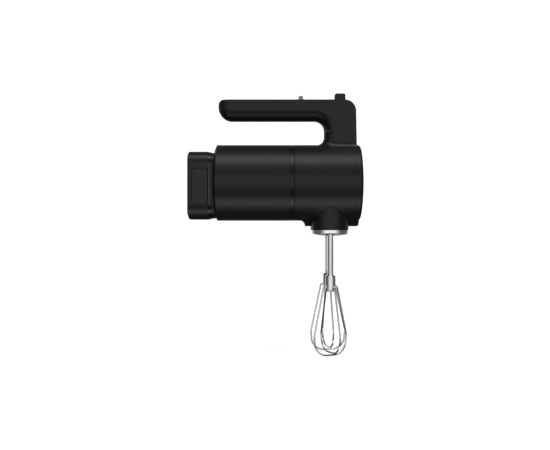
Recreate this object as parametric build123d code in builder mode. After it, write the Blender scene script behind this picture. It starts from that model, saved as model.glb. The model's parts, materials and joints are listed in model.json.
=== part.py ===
"""Cordless hand mixer: round motor barrel, open-backed handle, twin wire beaters, slide-out battery."""
from build123d import *
import math
import os

os.makedirs("parts", exist_ok=True)

# ---------------------------------------------------------------- driving dimensions, mm
# The origin is the centre of the grip. +X is the front of the mixer, +Z is up, +Y is its left side.
shell_wall = 2.5
sliding_gap = 0.3
running_gap = 0.05

# Handle
handle_height = 23.3
handle_width = 30.0
handle_back = -61.0
handle_under_radius = 13.5
heel_corner = 16.0
crown_corner = 6.0
grip_gap = 27.1
gap_corner = 11.3
strut_back = 60.1
strut_front = 96.8
strut_lean = 1.2
strut_corner = 13.0
foot_flare = 8.5
foot_gap = 0.15

# Barrel and head
barrel_radius = 43.4
barrel_back = -65.2
back_rim_length = 3.1
back_rim_dome = 0.6
seam_back = 20.0
seam_front = 25.2
seam_groove = 0.35
seam_hairline = 0.12
nose_seam = 92.6
head_front = 104.3
face_radius = 270.0
face_edge_radius = 3.0
chin_drop = 6.3
chin_back = 38.4
chin_flare = 7.0
chin_root_angle = 25.0
chin_foot = 3.0
chin_front = 99.6
chin_edge = 2.5
boss_radius = 21.0
boss_length = 66.0
boss_drop = 10.7
boss_root = 2.5
collar_ring_side = 3.4
collar_ring_dome = 3.7

# Battery pack and its dock
pack_back = -95.5
pack_front = -71.1
neck_front = -67.9
pack_top = 34.8
pack_bottom = -42.2
pack_width = 54.0
pack_top_radius = 15.0
pack_bottom_radius = 19.0
pack_bulge = 2.3
pack_heel = 34.0
neck_inset = 0.6
collar_inset = 1.4
stem_radius = 21.2
stem_wall = 1.1
contact_thickness = 1.8
cell_diameter = 18.5
cell_length = 65.0
sleeve_wall = 1.9
button_length = 17.8
button_height = 38.8
button_corner = 3.5
button_middle = -4.6
button_front = -71.5
button_proud = 0.5
button_travel = 1.8
button_lip = 1.2

# Motor and gears
shaft_radius = 2.5
motor_radius = 18.0
motor_back = -6.0
motor_front = 44.0
beater_x = 66.2
beater_spacing = 42.0
worm_pitch_radius = 5.0
gear_module = 1.0
wheel_face = 8.0
worm_length = 26.0
spindle_radius = 5.5
spindle_top = 12.0
bush_radius = 7.5
bush_length = 5.0

# Beaters
beater_shaft_diameter = 6.35
beater_shaft_top = -15.0
wire_diameter = 2.0
collar_top = -104.6
collar_bottom = -123.0
collar_diameter = 11.7
cage_radius = 20.0
cage_belly = -168.0
cage_bottom = -194.5
cage_step = 3.2
socket_z = -117.0
socket_radius = 3.2
elbow_x = 8.6
flute_radius = 0.75
shaft_seat = 3.0
left_cage_turn = 14.0
right_cage_turn = 27.0

# Controls
eject_x = 78.5
eject_length = 12.2
eject_width = 13.0
eject_height = 8.6
eject_travel = 7.0
rod_radius = 4.0
lever_x = 33.5
lever_travel = 18.0
lever_height = 5.6
lever_width = 10.0
lever_foot_length = 6.8
lever_crown_length = 3.4

# ---------------------------------------------------------------- places worked out from them
axis_z = -(handle_height / 2 + grip_gap + barrel_radius)
barrel_axis = Axis((0, 0, axis_z), (1, 0, 0))
side_plane = Plane(origin=(0, 0, axis_z), x_dir=(1, 0, 0), z_dir=(0, -1, 0))
handle_top = handle_height / 2 - axis_z
beater_y = beater_spacing / 2
chin_depth = barrel_radius + chin_drop
boss_depth = barrel_radius + boss_drop
wheel_teeth = round((beater_spacing - 2 * worm_pitch_radius) / gear_module)
cell_back = pack_back + shell_wall + 0.2
stem_front = cell_back + cell_length + contact_thickness + 0.4


def across(x):
    """Plane square to the barrel's axis, with Y to the right and Z up."""
    return Plane(origin=(x, 0, axis_z), x_dir=(0, 1, 0), z_dir=(1, 0, 0))


def level(z):
    """Level plane at a height above the barrel's axis."""
    return Plane.XY.offset(axis_z + z)


def side_profile(*points):
    """Closed face in the side plane, from (x, height above the axis) points."""
    with BuildSketch(side_plane) as profile:
        with BuildLine():
            Polyline(*points, close=True)
        make_face()
    return profile.sketch


def tube_profile(back, front, outer, inner=0.0):
    """Half section of a tube on the barrel's axis."""
    return side_profile((back, inner), (front, inner), (front, outer), (back, outer))


def save(piece, name):
    """Label a finished piece and write it to its own file."""
    piece.part.label = name
    export_step(piece.part, f"parts/{name}.step")


# ---------------------------------------------------------------- barrel, seam band and head
inner_radius = barrel_radius - shell_wall
sleeve_bore = stem_radius + sliding_gap

dome_edge = pack_width / 2
dome_shoulder = (dome_edge + barrel_radius) / 2 + 2.0
with BuildPart() as barrel_shell:
    with BuildSketch(side_plane):
        with BuildLine():
            Polyline((barrel_back - back_rim_dome, dome_edge), (barrel_back - back_rim_dome, sleeve_bore),
                     (barrel_back + shell_wall, sleeve_bore), (barrel_back + shell_wall, dome_edge),
                     (barrel_back + back_rim_length + shell_wall, inner_radius),
                     (seam_back, inner_radius),
                     (seam_back, barrel_radius - seam_hairline),
                     (seam_back - seam_hairline, barrel_radius),
                     (barrel_back + back_rim_length, barrel_radius))
            ThreePointArc((barrel_back + back_rim_length, barrel_radius),
                          (barrel_back + back_rim_dome * 0.7, dome_shoulder),
                          (barrel_back - back_rim_dome, dome_edge))
        make_face()
    revolve(axis=barrel_axis)
save(barrel_shell, "barrel_shell")

with BuildPart() as seam_band:
    revolve(
        side_profile(
            (seam_back, inner_radius),
            (seam_back, barrel_radius - seam_hairline),
            (seam_back + seam_hairline, barrel_radius),
            (seam_front - seam_groove, barrel_radius),
            (seam_front, barrel_radius - seam_groove),
            (seam_front, inner_radius),
        ),
        axis=barrel_axis,
    )
save(seam_band, "seam_band")


def head_blank(inset=0.0, back=seam_front):
    """Round head with its domed face, every outer face moved in by inset."""
    radius = barrel_radius - inset
    front = head_front - inset
    dome = face_radius - inset
    edge = front - dome + math.sqrt(dome**2 - radius**2)
    half = front - dome + math.sqrt(dome**2 - (radius / 2) ** 2)
    with BuildPart() as blank:
        with BuildSketch(side_plane) as profile:
            with BuildLine():
                Polyline((front, 0), (back, 0), (back, radius), (edge, radius))
                ThreePointArc((edge, radius), (half, radius / 2), (front, 0))
            make_face()
            rim = profile.vertices().group_by(Axis.Y)[-1].sort_by(Axis.X)[-1]
            fillet(rim, radius=face_edge_radius)
        revolve(axis=barrel_axis)
    return blank.part


def boss_outline(inset=0.0):
    """Slot-shaped outline of the beater boss."""
    return SlotOverall(boss_length - 2 * inset, 2 * (boss_radius - inset), rotation=90)


def keel_profile(x, inset=0.0):
    """Cross-section of the chin: hollow flanks tangent to the barrel and a narrow flat underside."""
    turn = math.radians(chin_root_angle)
    radius = barrel_radius - 0.05 - inset
    depth = chin_depth - inset
    foot = chin_foot - inset / 2
    side, height = radius * math.sin(turn), -radius * math.cos(turn)
    inward = (-math.cos(turn), -math.sin(turn))
    with BuildSketch(across(x)) as keel:
        with BuildLine():
            TangentArc((side, height), (foot, -depth), tangent=inward)
            Line((foot, -depth), (-foot, -depth))
            TangentArc((-side, height), (-foot, -depth), tangent=(-inward[0], inward[1]))
            Line((-side, height), (side, height))
        make_face()
    return keel.sketch


flare_turn = chin_flare * math.sqrt(0.5)
with BuildPart() as chin:
    with BuildSketch(side_plane) as chin_profile:
        with BuildLine():
            Polyline(
                (chin_back - chin_flare, -chin_depth + chin_flare),
                (chin_back - chin_flare, -barrel_radius * 0.75),
                (chin_front + 0.6, -barrel_radius * 0.75),
                (chin_front, -chin_depth),
                (chin_back, -chin_depth),
            )
            ThreePointArc(
                (chin_back, -chin_depth),
                (chin_back - chin_flare + flare_turn, -chin_depth + flare_turn),
                (chin_back - chin_flare, -chin_depth + chin_flare),
            )
        make_face()
        chin_toe = chin_profile.vertices().group_by(Axis.Y)[0].sort_by(Axis.X)[-1]
        fillet(chin_toe, radius=chin_edge)
    extrude(amount=barrel_radius, both=True)
    extrude(keel_profile(chin_back - 2 * chin_flare), amount=2 * barrel_radius, mode=Mode.INTERSECT)
    chin_rails = chin.faces().sort_by(Axis.Z)[0].edges().filter_by(Axis.X)
    fillet(chin_rails, radius=chin_edge)

rod_hole_radius = rod_radius + 1.0
with BuildPart() as head_body:
    add(head_blank())
    with BuildSketch(level(-boss_depth)):
        with Locations((beater_x, 0)):
            boss_outline()
    extrude(amount=boss_depth / 2 + 4)
    boss_roots = head_body.edges(Select.NEW).filter_by(lambda e: e.center().Z > axis_z - boss_depth + 1)
    fillet(boss_roots, radius=boss_root)
    add(chin.part)
    # hairline where the nose cap meets the head, and the front half of the main seam groove
    revolve(
        side_profile((nose_seam, barrel_radius - seam_hairline),
                     (nose_seam + seam_hairline, barrel_radius + 0.01),
                     (nose_seam - seam_hairline, barrel_radius + 0.01)),
        axis=barrel_axis,
        mode=Mode.SUBTRACT,
    )
    revolve(
        side_profile((seam_front - 1, barrel_radius - seam_groove), (seam_front, barrel_radius - seam_groove),
                     (seam_front + 2 * seam_groove, barrel_radius + seam_groove),
                     (seam_front - 1, barrel_radius + seam_groove)),
        axis=barrel_axis,
        mode=Mode.SUBTRACT,
    )
    # hollow the round part, the boss and the chin
    add(head_blank(shell_wall, seam_front - 1), mode=Mode.SUBTRACT)
    with BuildSketch(level(-boss_depth + shell_wall)):
        with Locations((beater_x, 0)):
            boss_outline(shell_wall)
    extrude(amount=boss_depth - shell_wall, mode=Mode.SUBTRACT)
    extrude(keel_profile(chin_back + shell_wall, shell_wall),
            amount=chin_front - chin_back - 2 * shell_wall, mode=Mode.SUBTRACT)
    # sleeves for the lower bushes stand on the boss floor
    with BuildSketch(level(-boss_depth)):
        with Locations((beater_x, beater_y), (beater_x, -beater_y)):
            Circle(bush_radius + 1.8)
    extrude(amount=bush_length + shell_wall)
    with BuildSketch(level(-boss_depth)):
        with Locations((beater_x, beater_y), (beater_x, -beater_y)):
            Circle(bush_radius)
    extrude(amount=bush_length + shell_wall, mode=Mode.SUBTRACT)
    # the ejector rod comes down through the crown
    with BuildSketch(level(barrel_radius / 2)):
        with Locations((eject_x, 0)):
            Circle(rod_hole_radius)
    extrude(amount=barrel_radius, mode=Mode.SUBTRACT)

with BuildPart() as head_shell:
    add(head_body.part)
    split(bisect_by=across(nose_seam), keep=Keep.BOTTOM)
save(head_shell, "head_shell")

with BuildPart() as nose_cap:
    add(head_body.part)
    split(bisect_by=across(nose_seam), keep=Keep.TOP)
save(nose_cap, "nose_cap")

ring_depth = collar_ring_side + collar_ring_dome


def dome_profile(plane, chord, height):
    """Flat-topped lens with a shallow arched underside."""
    with BuildSketch(plane) as lens:
        with BuildLine():
            Polyline((-chord / 2, -height + collar_ring_dome), (-chord / 2, 0), (chord / 2, 0),
                     (chord / 2, -height + collar_ring_dome))
            ThreePointArc((chord / 2, -height + collar_ring_dome), (0, -height),
                          (-chord / 2, -height + collar_ring_dome))
        make_face()
    return lens.sketch


with BuildPart() as boss_collar:
    with BuildSketch(level(-boss_depth - ring_depth)):
        with Locations((beater_x, 0)):
            boss_outline()
    extrude(amount=ring_depth)
    ring_side = Plane(origin=(beater_x, 0, axis_z - boss_depth), x_dir=(1, 0, 0), z_dir=(0, -1, 0))
    ring_end = Plane(origin=(beater_x, 0, axis_z - boss_depth), x_dir=(0, 1, 0), z_dir=(1, 0, 0))
    extrude(dome_profile(ring_side, 2 * boss_radius, ring_depth), amount=boss_length, both=True,
            mode=Mode.INTERSECT)
    extrude(dome_profile(ring_end, boss_length, ring_depth), amount=boss_length, both=True,
            mode=Mode.INTERSECT)
    with BuildSketch(level(-boss_depth - ring_depth)):
        with Locations((beater_x, beater_y), (beater_x, -beater_y)):
            Circle(spindle_radius + 1.0)
    extrude(amount=ring_depth, mode=Mode.SUBTRACT)
save(boss_collar, "boss_collar")

# ---------------------------------------------------------------- handle
grip_plane = Plane.XZ
foot_z = axis_z + barrel_radius * 0.6


def corner_at(profile, x, height):
    """The corner of a side profile that is nearest to a point."""
    return profile.vertices().sort_by_distance((x, height))[0]


def handle_blank(inset=0.0):
    """Grip and front strut as one block, every outer face moved in by inset."""
    top = handle_height / 2 - inset
    under = -handle_height / 2 + inset
    back = handle_back + inset
    with BuildPart() as blank:
        with BuildSketch(grip_plane) as profile:
            with BuildLine():
                Polyline(
                    (back, top),
                    (strut_front - strut_lean - inset, top),
                    (strut_front - inset, foot_z),
                    (strut_back + inset, foot_z),
                    (strut_back + inset, under),
                    (back, under),
                    close=True,
                )
            make_face()
            fillet(corner_at(profile, strut_back + inset, under), radius=gap_corner + inset)
            fillet(corner_at(profile, strut_front - inset, top), radius=strut_corner - inset)
            fillet(corner_at(profile, back, under), radius=heel_corner - inset)
        extrude(amount=handle_width / 2 - inset, both=True)
        # the finger side is deeply rounded along the grip, round its heel and down the strut
        flanks = blank.faces().filter_by(Axis.Y)
        finger_edges = flanks.edges().filter_by(
            lambda e: e.center().Z < under + 6 and e.center().X < strut_back + gap_corner
            and e.center().Z > foot_z + 1
        )
        fillet(finger_edges, radius=handle_under_radius - inset)
        # the top of the heel is rolled over
        with BuildSketch(grip_plane):
            with Locations((back, top)):
                Rectangle(crown_corner, crown_corner, align=(Align.MIN, Align.MAX))
            with Locations((back + crown_corner, top - crown_corner)):
                Circle(crown_corner, mode=Mode.SUBTRACT)
        extrude(amount=handle_width, both=True, mode=Mode.SUBTRACT)
    return blank.part


def near_foot(edge):
    """True for the edges where the strut meets the barrel, apart from the one at the front."""
    point = edge.center()
    on_barrel = abs(math.hypot(point.Y, point.Z - axis_z) - barrel_radius) < 0.8
    return on_barrel and point.Z > axis_z and strut_back - 1 < point.X < strut_front - 1.5


with BuildPart() as handle_body:
    add(handle_blank())
    with BuildSketch(across(strut_back - 2 * gap_corner - foot_flare)):
        Circle(barrel_radius)
    extrude(amount=strut_front - strut_back + 3 * gap_corner + 2 * foot_flare)
    fillet(handle_body.edges().filter_by(near_foot), radius=foot_flare)
    with BuildSketch(across(handle_back)):
        Circle(barrel_radius + foot_gap)
    extrude(amount=head_front - 2 * handle_back, mode=Mode.SUBTRACT)
    # hollow, open to the head below the strut
    add(handle_blank(shell_wall), mode=Mode.SUBTRACT)

track_back = lever_x - 8.0
track_front = lever_x + lever_travel + 8.0
track_width = 14.0
track_depth = 2.0
track_proud = 0.2
track_rim = 3.0
stem_slot_width = 3.4
stem_slot_length = lever_travel + 7.0
screw_radius = 1.25
screw_head_radius = 2.75
screw_sink = 4.0
screw_head_height = 2.0
screw_length = handle_width - 10.0
recess_span = 3.4
recess_slot = 0.7
recess_depth = 1.2
screw_spots = [(-48.0, 0.0), (12.0, 0.0), (91.5, -27.0), (69.0, -35.0)]
boss_post_radius = 3.5
guide_z = handle_top - 34.0
guide_height = 3.0

with BuildPart() as handle_shells:
    add(handle_body.part)
    # screw posts, trimmed to the outer skin
    with BuildSketch(grip_plane) as posts:
        with Locations(screw_spots):
            Circle(boss_post_radius)
    extrude(amount=handle_width / 2 - shell_wall / 2, both=True)
    # ledge that guides the ejector rod and carries its spring
    with BuildSketch(level(guide_z)):
        with Locations(((strut_back + strut_front) / 2, 0)):
            Rectangle(strut_front - strut_back - 2 * shell_wall, handle_width - 2 * shell_wall)
    extrude(amount=-guide_height)
    with BuildSketch(level(guide_z)):
        with Locations((eject_x, 0)):
            Circle(rod_radius + running_gap * 2)
    extrude(amount=-guide_height, mode=Mode.SUBTRACT)
    # openings in the top for the speed track and the eject button
    with BuildSketch(level(handle_top - track_depth)):
        with Locations(((track_back + track_front) / 2, 0)):
            Rectangle(track_front - track_back, track_width)
    extrude(amount=track_depth, mode=Mode.SUBTRACT)
    with BuildSketch(level(handle_top - track_depth - shell_wall)):
        with Locations(((track_back + track_front) / 2, 0)):
            Rectangle(track_front - track_back - 2 * track_rim, track_width - track_rim)
    extrude(amount=track_depth + shell_wall, mode=Mode.SUBTRACT)
    with BuildSketch(level(handle_top - 2 * shell_wall)):
        with Locations((eject_x, 0)):
            Rectangle(eject_length + 2 * sliding_gap, eject_width + 2 * sliding_gap)
    extrude(amount=3 * shell_wall, mode=Mode.SUBTRACT)
    # screws go in from the left side
    with BuildSketch(grip_plane.offset(-handle_width / 2)):
        with Locations(screw_spots):
            Circle(screw_head_radius)
    extrude(amount=screw_sink, mode=Mode.SUBTRACT)
    with BuildSketch(grip_plane.offset(-handle_width / 2)):
        with Locations(screw_spots):
            Circle(screw_radius)
    extrude(amount=handle_width - screw_sink, mode=Mode.SUBTRACT)

with BuildPart() as handle_left_shell:
    add(handle_shells.part)
    split(bisect_by=Plane.XZ, keep=Keep.BOTTOM)
save(handle_left_shell, "handle_left_shell")

with BuildPart() as handle_right_shell:
    add(handle_shells.part)
    split(bisect_by=Plane.XZ, keep=Keep.TOP)
save(handle_right_shell, "handle_right_shell")

with BuildPart() as handle_screws:
    with BuildSketch(grip_plane.offset(-handle_width / 2 + screw_sink)):
        with Locations(screw_spots):
            Circle(screw_head_radius - sliding_gap)
    extrude(amount=-screw_head_height)
    with BuildSketch(grip_plane.offset(-handle_width / 2 + screw_sink)):
        with Locations(screw_spots):
            Circle(screw_radius)
    extrude(amount=screw_length)
    # cross recess in each head
    with BuildSketch(grip_plane.offset(-handle_width / 2 + screw_sink - screw_head_height)):
        with Locations(screw_spots):
            Rectangle(recess_span, recess_slot)
            Rectangle(recess_slot, recess_span)
    extrude(amount=recess_depth, mode=Mode.SUBTRACT)
save(handle_screws, "handle_screws")

with BuildPart() as speed_track:
    with BuildSketch(level(handle_top - track_depth)):
        with Locations(((track_back + track_front) / 2, 0)):
            Rectangle(track_front - track_back, track_width)
    extrude(amount=track_depth + track_proud)
    fillet(speed_track.faces().sort_by(Axis.Z)[-1].edges(), radius=track_proud)
    with BuildSketch(level(handle_top - track_depth)):
        with Locations((lever_x + lever_travel / 2, 0)):
            SlotOverall(stem_slot_length, stem_slot_width)
    extrude(amount=track_depth + track_proud, mode=Mode.SUBTRACT)
save(speed_track, "speed_track")

lever_seat = handle_top + track_proud + sliding_gap
switch_top = handle_top - track_depth - 3.0
switch_height = 8.0
switch_width = 9.0
switch_groove = 2.2
lever_stem_length = 4.0
lever_stem_width = 2.6
lever_stem_reach = 1.5
with BuildPart() as speed_lever:
    with BuildSketch(level(lever_seat)) as lever_foot:
        with Locations((lever_x, 0)):
            Rectangle(lever_foot_length, lever_width)
    with BuildSketch(level(lever_seat + lever_height)) as lever_crown:
        with Locations((lever_x, 0)):
            Rectangle(lever_crown_length, lever_width - 1.2)
    loft()
    fillet(speed_lever.faces().sort_by(Axis.Z)[-1].edges(), radius=0.7)
    with BuildSketch(level(lever_seat)):
        with Locations((lever_x, 0)):
            Rectangle(lever_stem_length, lever_stem_width)
    extrude(amount=-(lever_seat - switch_top + lever_stem_reach))
save(speed_lever, "speed_lever")

with BuildPart() as speed_switch:
    with BuildSketch(level(switch_top)):
        with Locations((lever_x + lever_travel / 2, 0)):
            Rectangle(stem_slot_length + 10, switch_width)
    extrude(amount=-switch_height)
    with BuildSketch(level(switch_top)):
        with Locations((lever_x + lever_travel / 2, 0)):
            Rectangle(stem_slot_length + 2, lever_stem_width + 1.4)
    extrude(amount=-switch_groove, mode=Mode.SUBTRACT)
save(speed_switch, "speed_switch")

# ---------------------------------------------------------------- ejector
fork_z = spindle_top + eject_travel + 5.0
fork_height = 3.0
flange_height = 2.0
flange_top = handle_top - shell_wall - sliding_gap
spring_wire = 1.2
spring_radius = rod_radius + 2.2

with BuildPart() as eject_button:
    with BuildSketch(level(flange_top)):
        with Locations((eject_x, 0)):
            RectangleRounded(eject_length, eject_width, 2.5)
    extrude(amount=handle_top + eject_height - flange_top)
    fillet(eject_button.faces().sort_by(Axis.Z)[-1].edges(), radius=2.0)
    with BuildSketch(level(flange_top)):
        with Locations((eject_x - 1.0, 0)):
            Rectangle(eject_length + 2.0, eject_width + 4.0)
    extrude(amount=-flange_height)
save(eject_button, "eject_button")

with BuildPart() as ejector_rod:
    with BuildSketch(level(fork_z + fork_height)):
        with Locations((eject_x, 0)):
            Circle(rod_radius)
    extrude(amount=flange_top - flange_height - fork_z - fork_height)
save(ejector_rod, "ejector_rod")

with BuildPart() as ejector_fork:
    with BuildSketch(level(fork_z)):
        with Locations((beater_x, 0)):
            SlotOverall(beater_spacing + 12.0, 12.0, rotation=90)
        with Locations(((beater_x + eject_x) / 2, 0)):
            RectangleRounded(eject_x - beater_x + 12.0, 12.0, 3.0)
    extrude(amount=fork_height)
save(ejector_fork, "ejector_fork")

spring_length = flange_top - flange_height - guide_z - 0.6
with BuildPart() as eject_spring:
    spring_foot = axis_z + guide_z + spring_wire / 2 + 0.3
    with BuildLine() as coil:
        Helix(
            pitch=(spring_length - spring_wire) / 6,
            height=spring_length - spring_wire,
            radius=spring_radius,
            center=(eject_x, 0, spring_foot),
        )
    with BuildSketch(Plane(origin=coil.line @ 0, z_dir=coil.line % 0)):
        Circle(spring_wire / 2)
    sweep(path=coil.line, is_frenet=True)
save(eject_spring, "eject_spring")

# ---------------------------------------------------------------- motor
can_wall = 1.6
magnet_thickness = 3.6
armature_radius = motor_radius - can_wall - magnet_thickness - 0.6
boss_step = 6.0

with BuildPart() as motor_can:
    revolve(
        side_profile(
            (motor_back, motor_radius - can_wall),
            (motor_back, motor_radius),
            (motor_front, motor_radius),
            (motor_front, boss_step + 1.5),
            (motor_front + 3.0, boss_step + 1.5),
            (motor_front + 3.0, boss_step),
            (motor_front - can_wall, boss_step),
            (motor_front - can_wall, motor_radius - can_wall),
        ),
        axis=barrel_axis,
    )
save(motor_can, "motor_can")

with BuildPart() as motor_magnets:
    magnet_outer = motor_radius - can_wall
    with BuildSketch(across(motor_back + 10)):
        Circle(magnet_outer)
        Circle(magnet_outer - magnet_thickness, mode=Mode.SUBTRACT)
        Rectangle(12, 3 * motor_radius, mode=Mode.SUBTRACT)
    extrude(amount=motor_front - motor_back - 16)
save(motor_magnets, "motor_magnets")

end_cap_length = 6.0
cap_back = motor_back - end_cap_length
with BuildPart() as motor_end_cap:
    revolve(
        side_profile(
            (cap_back, boss_step - 2.0),
            (cap_back, motor_radius - 2.0),
            (motor_back - 1.0, motor_radius - 0.5),
            (motor_back, motor_radius - 0.5),
            (motor_back, magnet_outer - 2.4),
            (motor_back - 3.0, magnet_outer - 2.4),
            (motor_back - 3.0, boss_step - 2.0),
        ),
        axis=barrel_axis,
    )
save(motor_end_cap, "motor_end_cap")


tip_wall_x = beater_x + worm_length / 2 + 9.0
tip_wall_length = 4.0
tip_bush_radius = 4.5
shaft_bore = shaft_radius + running_gap
with BuildPart() as shaft_bearings:
    revolve(tube_profile(cap_back, motor_back - 3.0, boss_step - 2.0, shaft_bore), axis=barrel_axis)
    revolve(tube_profile(motor_front - can_wall, motor_front + 3.0, boss_step, shaft_bore), axis=barrel_axis)
    revolve(tube_profile(tip_wall_x, tip_wall_x + tip_wall_length, tip_bush_radius, shaft_bore),
            axis=barrel_axis)
save(shaft_bearings, "shaft_bearings")

brush_x = motor_back + 1.0
commutator_radius = 5.2
with BuildPart() as motor_brushes:
    with BuildSketch(across(brush_x)):
        with Locations((commutator_radius + 0.15 + 3.0, 0), (-commutator_radius - 0.15 - 3.0, 0)):
            Rectangle(6.0, 3.2)
    extrude(amount=4.5)
save(motor_brushes, "motor_brushes")

shaft_back = cap_back - 5.0
with BuildPart() as motor_shaft:
    revolve(tube_profile(shaft_back, tip_wall_x + tip_wall_length - 0.5, shaft_radius), axis=barrel_axis)
save(motor_shaft, "motor_shaft")

core_back = motor_back + 12.0
core_front = motor_front - 10.0
with BuildPart() as armature_core:
    with BuildSketch(across(core_back)):
        Circle(armature_radius)
        with PolarLocations(armature_radius - 3.6, 7):
            Rectangle(4.4, 3.6, mode=Mode.SUBTRACT)
        with PolarLocations(armature_radius, 7):
            Rectangle(4.0, 1.2, mode=Mode.SUBTRACT)
        Circle(shaft_radius, mode=Mode.SUBTRACT)
    extrude(amount=core_front - core_back)
save(armature_core, "armature_core")

with BuildPart() as armature_windings:
    for end, way in ((core_back, -1), (core_front, 1)):
        with BuildSketch(across(end)):
            Circle(armature_radius - 0.8)
            Circle(shaft_radius + 1.0, mode=Mode.SUBTRACT)
        extrude(amount=4.0 * way)
    fillet(armature_windings.edges().filter_by(GeomType.CIRCLE).group_by(SortBy.RADIUS)[-1], radius=1.4)
save(armature_windings, "armature_windings")

with BuildPart() as commutator:
    with BuildSketch(across(motor_back)):
        Circle(commutator_radius)
        Circle(shaft_radius, mode=Mode.SUBTRACT)
    extrude(amount=7.0)
    with BuildSketch(across(motor_back)):
        with PolarLocations(commutator_radius, 7):
            Rectangle(1.0, 0.4)
    extrude(amount=7.0, mode=Mode.SUBTRACT)
save(commutator, "commutator")

fan_radius = 15.0
with BuildPart() as cooling_fan:
    with BuildSketch(across(shaft_back)):
        Circle(5.0)
        Circle(shaft_radius, mode=Mode.SUBTRACT)
    extrude(amount=4.0)
    with BuildSketch(across(shaft_back)):
        Circle(fan_radius)
        Circle(4.5, mode=Mode.SUBTRACT)
    extrude(amount=0.8)
    with BuildSketch(across(shaft_back)):
        with PolarLocations((fan_radius + 4.5) / 2, 9):
            Rectangle(fan_radius - 4.5, 1.0)
    extrude(amount=4.0)
save(cooling_fan, "cooling_fan")

# ---------------------------------------------------------------- worm drive
wheel_pitch_radius = gear_module * wheel_teeth / 2
tooth_rise = 0.9 * gear_module
tooth_sink = 1.4 * gear_module
wheel_tip_radius = wheel_pitch_radius + tooth_rise
wheel_root_radius = wheel_pitch_radius - tooth_sink
worm_tip_radius = worm_pitch_radius + tooth_rise
worm_core_radius = worm_pitch_radius - tooth_sink
thread_root = 0.4
thread_height = tooth_rise + tooth_sink + thread_root
thread_foot_half = 0.9
thread_tip_half = 0.35
worm_shoulder = 3.0
worm_pitch = math.pi * gear_module
worm_turns = round(worm_length / worm_pitch / 2) * 2 - 1
thread_length = worm_turns * worm_pitch
worm_back = beater_x - thread_length / 2

with BuildPart() as worm:
    with BuildLine() as thread_path:
        Helix(
            pitch=worm_pitch,
            height=thread_length,
            radius=worm_core_radius - thread_root,
            center=(worm_back, 0, axis_z),
            direction=(1, 0, 0),
        )
    start = thread_path.line @ 0
    outward = Vector(0, start.Y, start.Z - axis_z).normalized()
    with BuildSketch(Plane(origin=start, x_dir=outward, z_dir=thread_path.line % 0)):
        with BuildLine():
            Polyline((0, -thread_foot_half), (thread_height, -thread_tip_half),
                     (thread_height, thread_tip_half), (0, thread_foot_half), close=True)
        make_face()
    sweep(path=thread_path.line, is_frenet=True)
    worm_front = worm_back + thread_length
    revolve(tube_profile(worm_back - worm_shoulder, worm_front + worm_shoulder, worm_core_radius,
                         shaft_radius), axis=barrel_axis)
save(worm, "worm")

wheel_tooth = 360 / wheel_teeth
gap_root = 0.62
gap_mouth = 1.15
gap_reach = wheel_tip_radius - wheel_root_radius + 0.3
clip_groove = 0.8
clip_proud = 0.5
clip_mouth = 5.0
pin_head_height = 3.0
spindle_bottom = -boss_depth - ring_depth + 1.5
push_gap = 0.1
bore_radius = beater_shaft_diameter / 2 + 0.075
clip_z = -30.0
clip_height = 2.0
pin_head_top = fork_z - sliding_gap


def tooth_gap():
    """Space between two teeth of a worm wheel, wider at its mouth."""
    with BuildSketch() as gap:
        with BuildLine():
            Polyline((0, -gap_root), (gap_reach, -gap_mouth), (gap_reach, gap_mouth), (0, gap_root),
                     close=True)
        make_face()
    return gap.sketch


def beater_head(side, y):
    """Worm wheel, hollow spindle, retaining clip and push pin that drive one beater."""
    with BuildPart() as wheel:
        with BuildSketch(level(-wheel_face / 2)):
            with Locations((beater_x, y)):
                Circle(wheel_tip_radius)
                Circle(spindle_radius, mode=Mode.SUBTRACT)
        extrude(amount=wheel_face)
        with BuildSketch(level(-wheel_face / 2)):
            with Locations((beater_x, y)):
                with PolarLocations(wheel_root_radius, wheel_teeth, start_angle=wheel_tooth / 4):
                    add(tooth_gap())
        extrude(amount=wheel_face, mode=Mode.SUBTRACT)
    save(wheel, f"{side}_worm_wheel")

    with BuildPart() as spindle:
        with BuildSketch(level(spindle_bottom)):
            with Locations((beater_x, y)):
                Circle(spindle_radius)
                Circle(bore_radius, mode=Mode.SUBTRACT)
        extrude(amount=spindle_top - spindle_bottom)
        # groove and side windows for the retaining clip
        with BuildSketch(level(clip_z)):
            with Locations((beater_x, y)):
                Circle(spindle_radius)
                Circle(spindle_radius - clip_groove, mode=Mode.SUBTRACT)
        extrude(amount=clip_height, mode=Mode.SUBTRACT)
    save(spindle, f"{side}_spindle")

    with BuildPart() as clip:
        with BuildSketch(level(clip_z)):
            with Locations((beater_x, y)):
                Circle(spindle_radius + clip_proud)
                Circle(spindle_radius - clip_groove, mode=Mode.SUBTRACT)
            with Locations((beater_x + spindle_radius, y)):
                Rectangle(clip_mouth, clip_mouth, mode=Mode.SUBTRACT)
        extrude(amount=clip_height)
    save(clip, f"{side}_beater_clip")

    with BuildPart() as push_pin:
        with BuildSketch(level(beater_shaft_top + push_gap)):
            with Locations((beater_x, y)):
                Circle(bore_radius - 0.08)
        extrude(amount=pin_head_top - beater_shaft_top - push_gap)
        with BuildSketch(level(pin_head_top)):
            with Locations((beater_x, y)):
                Circle(spindle_radius - 0.5)
        extrude(amount=-pin_head_height)
    save(push_pin, f"{side}_push_pin")


beater_head("left", beater_y)
beater_head("right", -beater_y)

shelf_bottom = worm_tip_radius + 1.2
with BuildPart() as spindle_bushes:
    for seat in (shelf_bottom - 1.0, -boss_depth):
        with BuildSketch(level(seat)):
            with Locations((beater_x, beater_y), (beater_x, -beater_y)):
                Circle(bush_radius)
                Circle(spindle_radius + running_gap, mode=Mode.SUBTRACT)
        extrude(amount=bush_length)
save(spindle_bushes, "spindle_bushes")

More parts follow.
